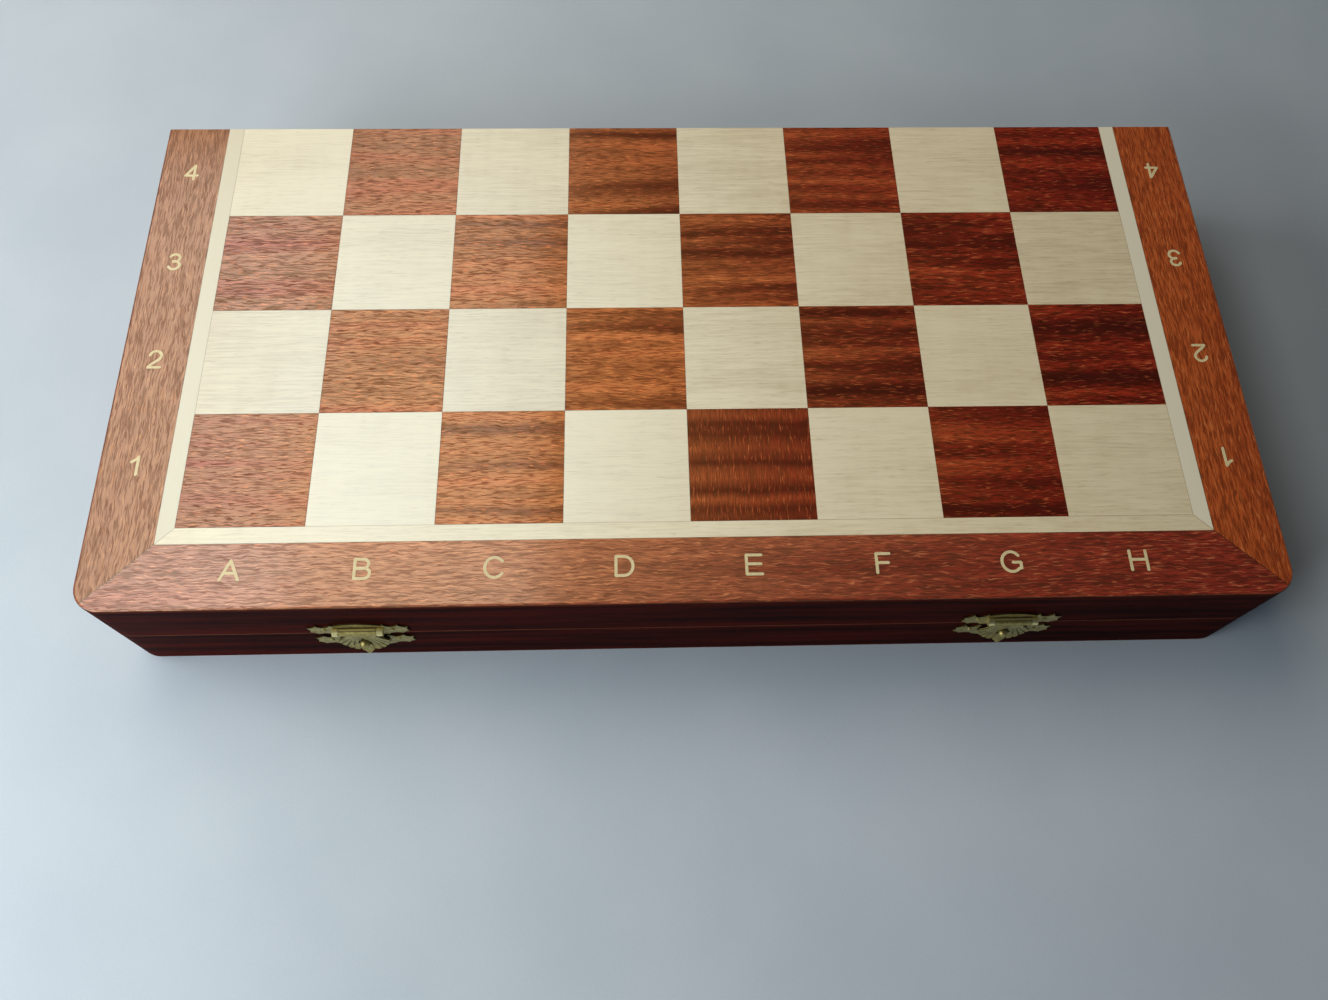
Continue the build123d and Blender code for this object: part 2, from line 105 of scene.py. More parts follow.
class Finish:
    """One material. Its place in millimetres comes as three wires, and as one vector."""

    def __init__(self, name, **fixed):
        self.material = bpy.data.materials.new(name)
        self.material.use_nodes = True
        self.tree = self.material.node_tree
        self.shader = self.tree.nodes["Principled BSDF"]
        for key, value in fixed.items():
            self.shader.inputs[key.replace("_", " ")].default_value = value
        start = Wire(self.tree, self.tree.nodes.new("ShaderNodeTexCoord").outputs["Object"])
        self.place = start.node("VectorMath", {0: start, 3: 1 / MM}, {"operation": "SCALE"})
        self.x, self.y, self.z = [
            start.node("SeparateXYZ", {0: self.place}, out=axis) for axis in range(3)
        ]

    def point(self, x, y, z=0.0):
        """Vector of three wires or values."""
        return self.x.node("CombineXYZ", {0: x, 1: y, 2: z})

    def noise(self, point, scale=1.0, detail=2.0, roughness=0.5):
        sockets = {"Vector": point, "Scale": scale, "Detail": detail, "Roughness": roughness}
        return self.x.node("TexNoise", sockets)

    def grain(self, along, across, board, cycles, detail=2.0, roughness=0.5):
        """Noise that is drawn out along the grain. It has so many cycles per millimetre along and
        across the grain, and board is a number of its own for each board."""
        drawn_out = self.point(along * cycles[0], across * cycles[1], board)
        return self.noise(drawn_out, 1.0, detail, roughness)

    def feed(self, **wires):
        for key, wire in wires.items():
            self.tree.links.new(wire.socket, self.shader.inputs[key.replace("_", " ")])

    def emboss(self, height, depth, lean=0.0):
        """Turns a height, times this depth in metres, into relief. Fibres that lean out of the
        surface, to -X, throw their gloss that way, and the lacquer over them doesn't."""
        relief = height.node("Bump", {"Height": height, "Distance": depth, "Strength": 1.0})
        tilt = self.point(lean * -1.0, 0.0)
        leaning = relief.node("VectorMath", {0: relief, 1: tilt}, {"operation": "ADD"})
        self.feed(Normal=leaning.node("VectorMath", {0: leaning}, {"operation": "NORMALIZE"}))


def paint(red, green, blue):
    """Colour as it is read from a paint chart, 0 to 255, made linear."""
    return [(level / 255) ** 2.2 for level in (red, green, blue)] + [1.0]


def palette(*colours):
    return [paint(*colour) for colour in colours]


TABLE_SIZE = 6.0
TABLE_GAP = 0.1 * MM

table_finish = Finish("table_lacquer", Roughness=0.55, Specular_IOR_Level=0.35)
mottle = table_finish.noise(table_finish.place, 0.012, 3.0)
speckle = table_finish.noise(table_finish.place, 0.9, 2.0)
shade = (mottle * 0.7 + speckle * 0.3).above(0.3, 0.7)
table_finish.feed(Base_Color=shade.blend(*palette((179, 191, 200), (187, 198, 206))))
table_finish.emboss(speckle, 0.02 * MM)
bpy.ops.mesh.primitive_plane_add(size=TABLE_SIZE, location=(0, 0, -TABLE_GAP))
table = bpy.context.object
table.name = "table"
table.data.materials.append(table_finish.material)


# Studio light: two sky panels over the far left, whose gloss falls on the left of the board, a wide
# window lamp that nothing mirrors, and a small lamp in front. The room's own light is dim and blue,
# and the pale wall low round it is seen and mirrored, but lights nothing.
def softbox(name, place, aim, size, power, colour, mirrored=True):
    bpy.ops.object.light_add(type="AREA", location=place)
    lamp = bpy.context.object
    lamp.name = name
    lamp.data.shape = "RECTANGLE"
    lamp.data.size, lamp.data.size_y = size
    lamp.data.energy = power
    lamp.data.color = colour
    lamp.rotation_euler = (Vector(aim) - Vector(place)).to_track_quat("-Z", "Y").to_euler()
    lamp.visible_glossy = mirrored


softbox("skylight", place=(-0.77, 0.50, 1.15), aim=(-0.77, 0.50, 0.0), size=(0.46, 1.2),
        power=6.6, colour=(1.0, 0.985, 0.94))
softbox("skylight_edge", place=(-0.355, 0.72, 1.15), aim=(-0.355, 0.72, 0.0), size=(0.37, 1.2),
        power=4.0, colour=(1.0, 0.83, 0.64))
softbox("window", place=(-1.25, -0.25, 0.60), aim=(0.4, 0.0, 0.3), size=(1.6, 0.7),
        power=16.8, colour=(0.97, 0.99, 1.0), mirrored=False)
softbox("room", place=(-0.60, -0.47, 0.34), aim=(-0.15, -0.13, 0.0), size=(0.4, 0.4),
        power=2.6, colour=(0.94, 0.97, 1.0))

ROOM_COLOUR = (0.56, 0.76, 1.0, 1.0)
ROOM_STRENGTH = 0.042
FAR_WALL_COLOUR = (0.50, 0.57, 0.61, 1.0)
FAR_WALL_TOP = (0.12, 0.25)
world = bpy.data.worlds.new("room_air")
bpy.context.scene.world = world
world.use_nodes = True
air = world.node_tree
room_light = air.nodes["Background"]
room_light.inputs["Color"].default_value = ROOM_COLOUR
room_light.inputs["Strength"].default_value = ROOM_STRENGTH
far_wall = air.nodes.new("ShaderNodeBackground")
far_wall.inputs["Color"].default_value = FAR_WALL_COLOUR
rays = air.nodes.new("ShaderNodeLightPath")
seen, glossy, through = [
    Wire(air, rays.outputs[f"Is {kind} Ray"]) for kind in ("Camera", "Glossy", "Transmission")
]
outlook = Wire(air, air.nodes.new("ShaderNodeTexCoord").outputs["Generated"])
low = 1 - outlook.node("SeparateXYZ", {0: outlook}, out=2).above(*FAR_WALL_TOP)
shown = seen.maths("MAXIMUM", glossy.maths("MAXIMUM", through)) * low
dim, pale = Wire(air, room_light.outputs[0]), Wire(air, far_wall.outputs[0])
surroundings = shown.node("MixShader", {0: shown, 1: dim, 2: pale})
air.links.new(surroundings.socket, air.nodes["World Output"].inputs["Surface"])


# Camera: a phone held over the front edge of the table and tilted down at the case. Its place and
# turn were fitted to the corners of the squares. Right, up and back are the columns of its matrix.
CAMERA_PLACE = (-0.02493, -0.27073, 0.49155)
CAMERA_RIGHT = (0.99949, -0.02358, 0.02142)
CAMERA_UP = (0.01280, 0.91299, 0.40778)
CAMERA_BACK = (-0.02917, -0.40730, 0.91283)
SENSOR_WIDTH = 36.0
FOCAL_LENGTH = 28.977
bpy.ops.object.camera_add()
camera = bpy.context.object
turn = Matrix((CAMERA_RIGHT, CAMERA_UP, CAMERA_BACK)).transposed().to_4x4()
camera.matrix_world = Matrix.Translation(CAMERA_PLACE) @ turn
camera.data.sensor_width = SENSOR_WIDTH
camera.data.lens = FOCAL_LENGTH
bpy.context.scene.camera = camera
bpy.context.scene.view_settings.view_transform = "Standard"


# Dark squares: sliced sapele veneer, lacquered. Its ribbon stripes and open pores run along X, on
# through a rank, because its squares were cut from one strip. One square was laid crosswise.
# Named lengths are in millimetres from here on, unless MM stands by them.
SQUARE = 55.0
FIELD_HALF = 220.0
FIELD_FRONT = -91.5
MIDDLE = 33.5
CUT_EDGE = (0.02, 0.22)
UPPER_RANKS = 10.0
CROSSWISE_FILE = 4.0
DARK_STRETCH = 31.0


def dress(finish, *nodes):
    for name in nodes:
        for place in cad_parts[name].material_slots:
            place.material = finish.material


def both(*names):
    return [f"{half}_{name}" for half in ("lower", "upper") for name in names]


def squares_of(finish):
    """File and rank numbers, a random number for each square, and 0 at its cut edges. The ranks of
    the upper half are counted on from UPPER_RANKS."""
    across = (finish.x + FIELD_HALF) / SQUARE
    deep = (finish.y - FIELD_FRONT) / SQUARE
    half = finish.z.above(MIDDLE - 1, MIDDLE + 1)
    file, rank = across.maths("FLOOR"), deep.maths("FLOOR")
    chance = file.node("TexWhiteNoise", {"Vector": finish.point(file, rank, half)})
    edge = across.maths("PINGPONG", 0.5).maths("MINIMUM", deep.maths("PINGPONG", 0.5)) * SQUARE
    return file, rank + half * UPPER_RANKS, chance, edge.above(*CUT_EDGE)


def sapele(finish, along, across, board, colours, tone, figure, pitch, contrast, relief, skin,
           lean, bands=None):
    """Ribbon-striped sapele. Board is a number of its own for each piece of wood, tone goes from -1
    to 1, figure is the strength of the stripes and pitch the fineness of the fibres. Skin is 0 at
    the edges, where the lacquer is gone, and bands is the way across the stripes, if another."""
    dark, mid, light, pore, painted_glint = colours
    waver = (finish.grain(along, across, board, (0.03, 0.05)) - 0.5) * 4.0
    lane = across + waver
    band = lane if bands is None else bands + waver
    ribbon = (finish.grain(along, band, board, (0.005, 0.12), 1.0) - 0.5) * figure
    ripple = finish.grain(along, lane, board + 3.0, (0.3, 0.5), 1.0)
    row = lane + ripple * 1.4
    fibre = finish.grain(along, row, board + 5.0, (0.12, pitch), 0.0)
    creases = 1 - fibre.above(0.36, 0.50)
    vessels = finish.grain(along, row, board + 8.0, (0.2, 1.2 * pitch), 0.0)
    glints, pores = vessels.above(0.66, 0.76), 1 - vessels.above(0.30, 0.42)
    marks = (creases * 0.7).maths("MAXIMUM", pores) * contrast
    share = ribbon * 0.42 + (fibre - 0.5) * 0.7 + tone * 0.06 + 0.5
    wood = share.node("ValToRGB", {0: share}, stops=((0.1, dark), (0.5, mid), (0.9, light)))
    finish.emboss((fibre * 2.0 - pores * 0.3) * contrast, relief, (ribbon * 1.2 + 1.0) * lean)
    dull = marks.maths("MAXIMUM", (ribbon * -1.0).above(0.0, 0.7) * 0.5)
    finish.feed(
        Metallic=dull * 0.6,
        Roughness=marks * 0.1 - skin * 0.4 + 0.76,
        Coat_Weight=(1.05 - marks) * skin,
    )
    # Glints are painted highlights: short light dashes, in the last colour, where pores catch the
    # light.
    return (glints * 0.8).blend((marks * 0.9).blend(wood, pore), painted_glint)


# The last colour of each sapele set is a painted glint, the highlight of pores that catch the
# light.
REDS = palette((88, 9, 7), (118, 14, 10), (150, 34, 18), (72, 9, 6), (190, 92, 54))
SATIN = {
    "IOR": 1.85,
    "Specular_IOR_Level": 1.0,
    "Specular_Tint": (0.76, 0.5, 0.16, 1.0),
    "Coat_Roughness": 0.15,
    "Coat_IOR": 1.53,
}
dark_finish = Finish("sapele_squares", **SATIN)
file, rank, chance, inside = squares_of(dark_finish)
crosswise = file.maths("COMPARE", CROSSWISE_FILE, 0.1) * rank.maths("COMPARE", UPPER_RANKS, 0.1)
strip = sapele(
    dark_finish,
    along=crosswise.pick(dark_finish.x, dark_finish.y) + file * DARK_STRETCH,
    across=crosswise.pick(dark_finish.y, dark_finish.x),
    board=rank * 2.3,
    colours=REDS,
    tone=chance * 2 - 1,
    figure=4.2,
    pitch=1.7,
    contrast=crosswise * -0.4 + 0.8,
    relief=0.04 * MM,
    skin=inside,
    lean=0.1 - crosswise * 0.05,
    bands=dark_finish.y,
)
dark_finish.feed(Base_Color=inside.blend(paint(90, 36, 20), strip))
dress(dark_finish, *both("dark_squares"))


# Light squares and the strips of stringing round them: sliced maple, almost white, with faint short
# flecks along its grain. The stringing is mitred at the corners. Its strips at the sides are
# plainer; the left one is a darker cream and the right one paler, which is a painted sheen.
STRINGING = 7.5
STRINGING_MITRE = (0.05, 0.3)
LIGHT_STRETCH = 47.0


def maple(finish, along, across, board, colours, tone, lean):
    """Plain maple, with the same board and tone numbers as the sapele."""
    shadow, body = colours
    waver = (finish.grain(along, across, board, (0.02, 0.04)) - 0.5) * 3.0
    lane = across + waver
    cloud = finish.grain(along, lane, board + 2.0, (0.012, 0.06))
    fibre = finish.grain(along, lane, board + 4.0, (0.05, 1.1), 1.0)
    flecks = finish.grain(along, lane, board + 6.0, (0.2, 1.9), 0.0).above(0.62, 0.72)
    silk = finish.grain(along, lane, board + 9.0, (0.13, 0.025), 1.0)
    share = (cloud - 0.5) * 0.5 + (fibre - 0.5) * 0.8 + (silk - 0.5) * 0.2
    share = share + tone * 0.15 - flecks * 0.18 + 0.71
    finish.emboss(fibre * 0.5 - flecks * 0.3, 0.03 * MM, lean)
    finish.feed(Roughness=fibre * 0.1 + 0.34)
    return share.above(0.0, 1.0).blend(shadow, body)


CREAMS = palette((196, 174, 131), (235, 219, 180))
PALE_SATIN = {
    "IOR": 1.85,
    "Specular_IOR_Level": 1.0,
    "Specular_Tint": (0.55, 0.8, 1.0, 1.0),
    "Coat_Weight": 0.2,
    "Coat_Roughness": 0.35,
}
light_finish = Finish("maple_squares", **PALE_SATIN)
file, rank, chance, inside = squares_of(light_finish)
strip = maple(
    light_finish,
    along=light_finish.x + file * LIGHT_STRETCH,
    across=light_finish.y,
    board=rank * 1.7 + file * 0.9,
    colours=CREAMS,
    tone=chance * 2 - 1,
    lean=0.1,
)
light_finish.feed(Base_Color=inside.blend(paint(202, 178, 138), strip))
dress(light_finish, *both("light_squares"))

string_finish = Finish(
    "maple_stringing", **{**PALE_SATIN, "Specular_Tint": (0.64, 0.86, 0.98, 1.0)}
)
outward = string_finish.x.maths("ABSOLUTE") - FIELD_HALF
forward = FIELD_FRONT - string_finish.y
to_the_right = string_finish.x.above(-1, 1)
at_side = (outward - forward).above(-0.01, 0.01)
strip = maple(
    string_finish,
    along=at_side.pick(string_finish.x, string_finish.y),
    across=at_side.pick(string_finish.y, string_finish.x),
    board=to_the_right * 5.0 + at_side * 9.0,
    colours=CREAMS,
    tone=0.0,
    lean=0.1 - at_side * 0.1,
)
# Side strips: the left one a darker cream, the right one painted paler as a painted sheen.
sides = to_the_right.blend(*palette((214, 196, 156), (255, 246, 216)))
strip = (at_side * 0.9).blend(strip, sides)
from_field = outward.maths("MAXIMUM", forward)
rims = from_field.maths("MINIMUM", STRINGING - from_field).above(0.0, 0.25)
mitre = (outward - forward).maths("ABSOLUTE").above(*STRINGING_MITRE)
string_finish.feed(Base_Color=(mitre * rims).blend(paint(176, 150, 114), strip))
dress(string_finish, *both("stringing"))


# Borders: broad sapele strips round the field, mitred at the front corners and rounded over at the
# outer edge, where the stain shows darker. Their grain runs along each strip, and is straighter
# than the squares' and finer. Each strip is of another tree, so its colours and gloss are its own.
# The last of each border's colours is a painted glint, as in the squares.
BORDERS = {
    "front_border": {
        "colours": ((104, 19, 10), (136, 29, 15), (168, 54, 28), (74, 13, 8), (196, 104, 66)),
        "gloss": {"Specular_Tint": (0.76, 0.68, 0.34, 1.0), "Coat_IOR": 1.75},
        "lean": 0.1,
    },
    "left_border": {
        "colours": ((96, 28, 10), (118, 40, 15), (136, 56, 24), (72, 21, 8), (160, 88, 45)),
        "gloss": {"Specular_Tint": (0.92, 0.66, 0.32, 1.0), "Coat_IOR": 1.5},
        "lean": 0.0,
    },
    "right_border": {
        "colours": ((166, 66, 26), (192, 84, 33), (212, 104, 46), (110, 38, 16), (226, 126, 66)),
        "gloss": {"Specular_Tint": (0.84, 0.64, 0.30, 1.0), "Coat_IOR": 1.6},
        "lean": 0.0,
    },
}
BORDER_CORNER = (FIELD_HALF + STRINGING, FIELD_FRONT - STRINGING)
BORDER_MITRE = (0.1, 0.45)
CASE_HALF = 257.7
CASE_FRONT = -128.5
MITRE_SLANT = (CASE_HALF - BORDER_CORNER[0]) / (BORDER_CORNER[1] - CASE_FRONT)
for number, (border, wood) in enumerate(BORDERS.items()):
    border_finish = Finish(f"sapele_{border}", **{**SATIN, **wood["gloss"]})
    outward = border_finish.x.maths("ABSOLUTE") - BORDER_CORNER[0]
    forward = BORDER_CORNER[1] - border_finish.y
    mitre = (outward - forward * MITRE_SLANT).maths("ABSOLUTE").above(*BORDER_MITRE)
    inner = outward.maths("MAXIMUM", forward).above(0.0, 0.25)
    face = (border_finish.z - MIDDLE).maths("ABSOLUTE").above(MIDDLE - 0.4, MIDDLE - 0.1)
    ways = (border_finish.x, border_finish.y)
    along, across = ways if border == "front_border" else reversed(ways)
    strip = sapele(
        border_finish,
        along=along,
        across=across,
        board=border_finish.z * 0.11 + number * 13.0,
        colours=palette(*wood["colours"]),
        tone=0.0,
        figure=1.2,
        pitch=1.8,
        contrast=0.6,
        relief=0.03 * MM,
        skin=face * 0.8,
        lean=wood["lean"],
    )
    joints = (mitre * inner).blend(paint(70, 34, 20), strip)
    border_finish.feed(Base_Color=face.blend(paint(70, 18, 11), joints))
    dress(border_finish, *both(border))


# Panels and walls: the panels' lacquered beech edge and the walls, stained to dark mahogany after
# the corner fingers were glued. Along the rims and arrises the stain is rubbed thin, with a painted
# highlight there too, where these edges catch the light. The walls' grain is straight.
WALL_RIM = 0.1
WALL_TOP = 30.9
THIN_LACQUER = {"Specular_IOR_Level": 0.0, "Coat_Weight": 0.1, "Coat_Roughness": 0.35}
# The third wall colour is the rims' lighter wood, and it also serves as their painted highlight.
WALL_STAIN = palette((28, 7, 5), (74, 25, 17), (130, 76, 56))
PANEL_STAIN = palette((46, 15, 11), (84, 28, 18), (90, 34, 22))


def stained(finish, along, across, board, colours, wear_and_highlight):
    """Stained wood. The last argument is the share, 0 to 1, of the third, lighter colour: stain
    rubbed thin, and a painted highlight on edges that catch the light.
    """
    dark, light, bare_and_lit = colours
    waver = (finish.grain(along, across, board, (0.01, 0.05)) - 0.5) * 6.0
    lane = across + waver
    figure = finish.grain(along, lane, board + 1.0, (0.008, 0.16))
    fibre = finish.grain(along, lane, board + 2.0, (0.05, 1.3), 4.0, 0.65)
    pores = finish.grain(along, lane, board + 4.0, (0.13, 2.4)).above(0.57, 0.68)
    share = (figure - 0.5) * 1.4 + (fibre - 0.5) * 0.8 + 0.45 - pores * 0.3
    scuffs = finish.noise(finish.place, 0.12, 2.0).above(0.4, 0.7)
    finish.emboss(fibre * 0.5 - pores * 0.6, 0.05 * MM)
    finish.feed(Roughness=fibre * 0.12 + scuffs * 0.08 + 0.30)
    worn_and_lit = (scuffs * 0.15 + 0.5) * wear_and_highlight
    return worn_and_lit.blend(share.above(0.0, 1.0).blend(dark, light), bare_and_lit)


for name, board in (("front_wall", 10), ("back_wall", 9), ("left_wall", 9), ("right_wall", 10)):
    wall_finish = Finish(f"mahogany_{name}", **THIN_LACQUER)
    up = wall_finish.z - MIDDLE
    # Rim and arris mark the edges at the seam and by the panel. They are painted lighter: partly
    # stain rubbed thin, partly a painted highlight where the edges catch the light.
    rim = 1 - up.maths("ABSOLUTE").above(WALL_RIM + 0.25, WALL_RIM + 0.5)
    arris = up.maths("ABSOLUTE").above(WALL_TOP - 0.4, WALL_TOP - 0.15)
    length, thickness = wall_finish.x, wall_finish.y
    if name in ("left_wall", "right_wall"):
        length, thickness = thickness, length
    stain = stained(
        wall_finish,
        along=length,
        across=wall_finish.z + thickness * 0.9,
        board=up.above(-1, 1) * 17.0 + board,
        colours=WALL_STAIN,
        wear_and_highlight=rim.maths("MAXIMUM", arris * 0.2),
    )
    wall_finish.feed(Base_Color=stain)
    dress(wall_finish, *both(name))

panel_finish = Finish("stained_beech_panels", **THIN_LACQUER)
stain = stained(panel_finish, panel_finish.x, panel_finish.y, 0.0, PANEL_STAIN, wear_and_highlight=0.0)
panel_finish.feed(Base_Color=stain)
dress(panel_finish, *both("panel"))


# Dividers: thin boards of the same wood as the walls, waxed and not stained, halved together where
# they cross. Their grain runs along the long one and along each of the cross ones.
DIVIDER_HALF = 2.0
DIVIDER_WOOD = palette((84, 48, 30), (128, 82, 54), (140, 96, 66))
divider_finish = Finish("waxed_dividers")
crossing = divider_finish.y.maths("ABSOLUTE").above(DIVIDER_HALF + 0.05, DIVIDER_HALF + 0.1)
along = crossing.pick(divider_finish.x, divider_finish.y)
board = crossing * 5.0
stain = stained(divider_finish, along, divider_finish.z, board, DIVIDER_WOOD, wear_and_highlight=0.0)
divider_finish.feed(Base_Color=stain)
dress(divider_finish, *both("long_divider", "cross_dividers"))


# Felt linings: one sheet of green wool felt in each tray, 1 mm thick, which the dividers stand on.
# The sheet swells by a tenth of a millimetre here and there, and its cut edges are soft.
FELT_GRID = (140, 70)
FELT_BODY = 0.9
FELT_EDGE = 0.3 * MM
FELT_SWELL = 0.1 * MM
FELT_LUMPS = 12.0 * MM


def reshape(piece, name, kind, **settings):
    """Adds a modifier to the active piece and applies it at once."""
    modifier = piece.modifiers.new(name, kind)
    for key, value in settings.items():
        setattr(modifier, key, value)
    bpy.ops.object.modifier_apply(modifier=name)


felt_finish = Finish("green_felt", Roughness=0.95, Specular_IOR_Level=0.1, Sheen_Weight=0.12,
                     Sheen_Roughness=0.6)
wool = felt_finish.noise(felt_finish.place, 2.2, 5.0, 0.75)
clumps = felt_finish.noise(felt_finish.place, 0.12, 3.0, 0.6)
nap = (wool * 0.6 + clumps * 0.5).above(0.35, 0.75)
felt_finish.feed(Base_Color=nap.blend(*palette((18, 60, 38), (38, 92, 60))))
felt_finish.emboss(wool, 0.3 * MM)
for half in ("lower", "upper"):
    low, high = (Vector(corner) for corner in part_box(f"{half}_felt"))
    middle, size = (low + high) / 2, high - low
    columns, rows = FELT_GRID
    bpy.ops.mesh.primitive_grid_add(
        x_subdivisions=columns, y_subdivisions=rows, size=1.0, location=middle
    )
    lining = bpy.context.object
    lining.name = f"{half}_felt_lining"
    lining.scale = (size.x, size.y, 1.0)
    bpy.ops.object.transform_apply(location=True, rotation=True, scale=True)
    reshape(lining, "thickness", "SOLIDIFY", thickness=FELT_BODY * size.z, offset=0.0)
    reshape(lining, "soft_edge", "BEVEL", width=FELT_EDGE, segments=2)
    lumps = bpy.data.textures.new(f"{half}_lumps", "CLOUDS")
    lumps.noise_scale = FELT_LUMPS
    reshape(lining, "swell", "DISPLACE", texture=lumps, direction="Z", strength=FELT_SWELL)
    bpy.ops.object.shade_smooth()
    lining.data.materials.append(felt_finish.material)
    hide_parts(f"{half}_felt")
    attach(lining, f"{half}_case")


# Letters and digits: grooves cut with a round bit and filled with cream lacquer, which stands just
# proud. Files are lettered along the front and ranks are numbered at both sides, the digits at the
# left upright for the player in front and those at the right for the player behind.
BIT = 0.65
ARC_STEP = 12
END_TURNS = (1.05, 0.52, 0, -0.52, -1.05)
FILLING = 0.1 * MM
LETTER_ROW = -111.7
DIGIT_COLUMN = 242.2
# How far the signs stray from their squares' middles: the first one, and each next one more.
LETTER_STRAY_X = (-1.6, 0.1)
LETTER_STRAY_Y = (0.7, -0.2)
DIGIT_STRAY = {"left": (2.3, -0.9), "right": (0.4, -0.65)}
# Each sign is a list of strokes. A stroke is a run of points (x, y) and of arcs, which are given as
# their middle, their two radii and the angles where they start and end.
SIGNS = {
    "A": (((0, 4.3), (-3.8, -4.3)), ((0, 4.3), (3.8, -4.3)), ((-2.4, -1.3), (2.4, -1.3))),
    "B": (((-3.2, -4.3), (-3.2, 4.3)), ((-3.2, 4.3), (0.5, 2.25, 2.05, 2.05, 90, -90), (-3.2, 0.2)),
          ((0.5, 0.2), (1.0, -2.05, 2.25, 2.25, 90, -90), (-3.2, -4.3))),
    "C": (((0.3, 0, 4.1, 4.5, 38, 322),),),
    "D": (((-3.6, -4.3), (-3.6, 4.3)),
          ((-3.6, 4.3), (-0.2, 0, 3.8, 4.3, 90, -90), (-3.6, -4.3))),
    "E": (((-3.3, -4.3), (-3.3, 4.3)), ((-3.3, 4.3), (3.0, 4.3)), ((-3.3, 0.3), (2.8, 0.3)),
          ((-3.3, -4.3), (3.3, -4.3))),
    "F": (((-2.8, -4.3), (-2.8, 4.3)), ((-2.8, 4.3), (2.8, 4.3)), ((-2.8, 0.2), (2.2, 0.2))),
    "G": (((0, 0, 4.1, 4.5, 38, 316), (4.0, -2.9)), ((4.0, -2.9), (4.0, -0.3)),
          ((4.0, -0.3), (0.7, -0.3))),
    "H": (((-3.5, -4.3), (-3.5, 4.3)), ((3.5, -4.3), (3.5, 4.3)), ((-3.5, 0.4), (3.5, 0.4))),
    "1": (((1.35, -4.3), (1.35, 4.3)), ((1.35, 4.3), (0.3, 2.9), (-1.35, 1.9))),
    "2": (((0, 1.7, 2.6, 2.6, 170, -20), (1.5, -0.4), (-1.5, -2.8), (-2.7, -4.3)),
          ((-2.7, -4.3), (2.7, -4.3))),
    "3": (((0, 2.2, 2.3, 2.1, 160, -90), (-0.6, 0.1)),
          ((-0.6, 0.3), (0, -1.95, 2.6, 2.35, 90, -160))),
    "4": (((1.2, 4.3), (1.2, -4.3)), ((1.2, 4.3), (-2.9, -1.9)), ((-2.9, -1.9), (2.9, -1.9))),
    "5": (((-1.8, 4.3), (2.4, 4.3)), ((-1.8, 4.3), (-2.3, 0.2)),
          ((-2.3, 0.2), (0, -1.4, 2.7, 2.9, 130, -160))),
    "6": (((0, -1.6, 2.6, 2.7, 0, 360),),
          ((0.3, 2.4, 2.1, 1.9, 20, 130), (-2.3, 1.4), (-2.6, -1.6))),
    "7": (((-2.6, 4.3), (2.6, 4.3)), ((2.6, 4.3), (0.5, 0.8), (-0.8, -4.3))),
    "8": (((0, 2.2, 2.2, 2.1, 0, 360),), ((0, -2.1, 2.65, 2.2, 0, 360),)),
}
letter_finish = Finish("cream_inlay", Roughness=0.45, Coat_Weight=0.1, Coat_Roughness=0.3)
fade = letter_finish.noise(letter_finish.place, 0.8, 4.0, 0.7).above(0.3, 0.75)
letter_finish.feed(Base_Color=fade.blend(*palette((214, 196, 144), (232, 218, 172))))
letter_finish.emboss(fade, 0.01 * MM)


def bit_path(stroke):
    """Points along a stroke: its points as given, and each arc in short steps."""
    path = []
    for item in stroke:
        if len(item) == 2:
            path.append(Vector(item))
            continue
        x, y, wide, high, first, last = item
        steps = max(4, int(abs(last - first) / ARC_STEP))
        for step in range(steps + 1):
            angle = radians(first + (last - first) * step / steps)
            path.append(Vector((x + wide * cos(angle), y + high * sin(angle))))
    return path


def groove(path):
    """Outline of the round bit's cut along a path: a side, the end, the other side, the start."""
    ahead = [
        (path[min(n + 1, len(path) - 1)] - path[max(n - 1, 0)]).normalized()
        for n in range(len(path))
    ]
    sides = [
        [point + Vector((-way.y, way.x)) * BIT * hand for point, way in zip(path, ahead)]
        for hand in (1, -1)
    ]
    ring = list(sides[0])
    for end, way, rest in ((path[-1], ahead[-1], reversed(sides[1])), (path[0], -ahead[0], ())):
        facing = atan2(way.y, way.x)
        ring += [end + Vector((cos(facing + turn), sin(facing + turn))) * BIT for turn in END_TURNS]
        ring += rest
    return ring


def closed_groove(path):
    """Inner and outer outline of a cut that comes round to its start."""
    middle = sum(path[:-1], Vector((0, 0))) / (len(path) - 1)
    return [
        [point + (point - middle).normalized() * BIT * hand for point in path[:-1]]
        for hand in (1, -1)
    ]


def glyph(sign, spot, turned, under):
    """One letter or digit as meshes, flat on a playing face at this spot."""
    turn = Matrix.Rotation(pi if turned else 0.0, 4, "Z")
    flip = Matrix.Rotation(pi if under else 0.0, 4, "X")
    level = 0.0 if under else 2 * MIDDLE
    place = Matrix.Translation(Vector((*spot, level)) * MM) @ turn @ flip
    strokes = []
    for stroke in SIGNS[sign]:
        path = bit_path(stroke)
        mesh = bpy.data.meshes.new("groove")
        if (path[0] - path[-1]).length < BIT:
            rings = closed_groove(path)
            count = len(rings[0])
            corners = [point for ring in rings for point in ring]
            faces = [(n, (n + 1) % count, (n + 1) % count + count, n + count) for n in range(count)]
        else:
            corners = groove(path)
            faces = [tuple(range(len(corners)))]
        mesh.from_pydata([place @ (Vector((*point, 0)) * MM) for point in corners], [], faces)
        strokes.append(bpy.data.objects.new("groove", mesh))
        bpy.context.collection.objects.link(strokes[-1])
    return strokes


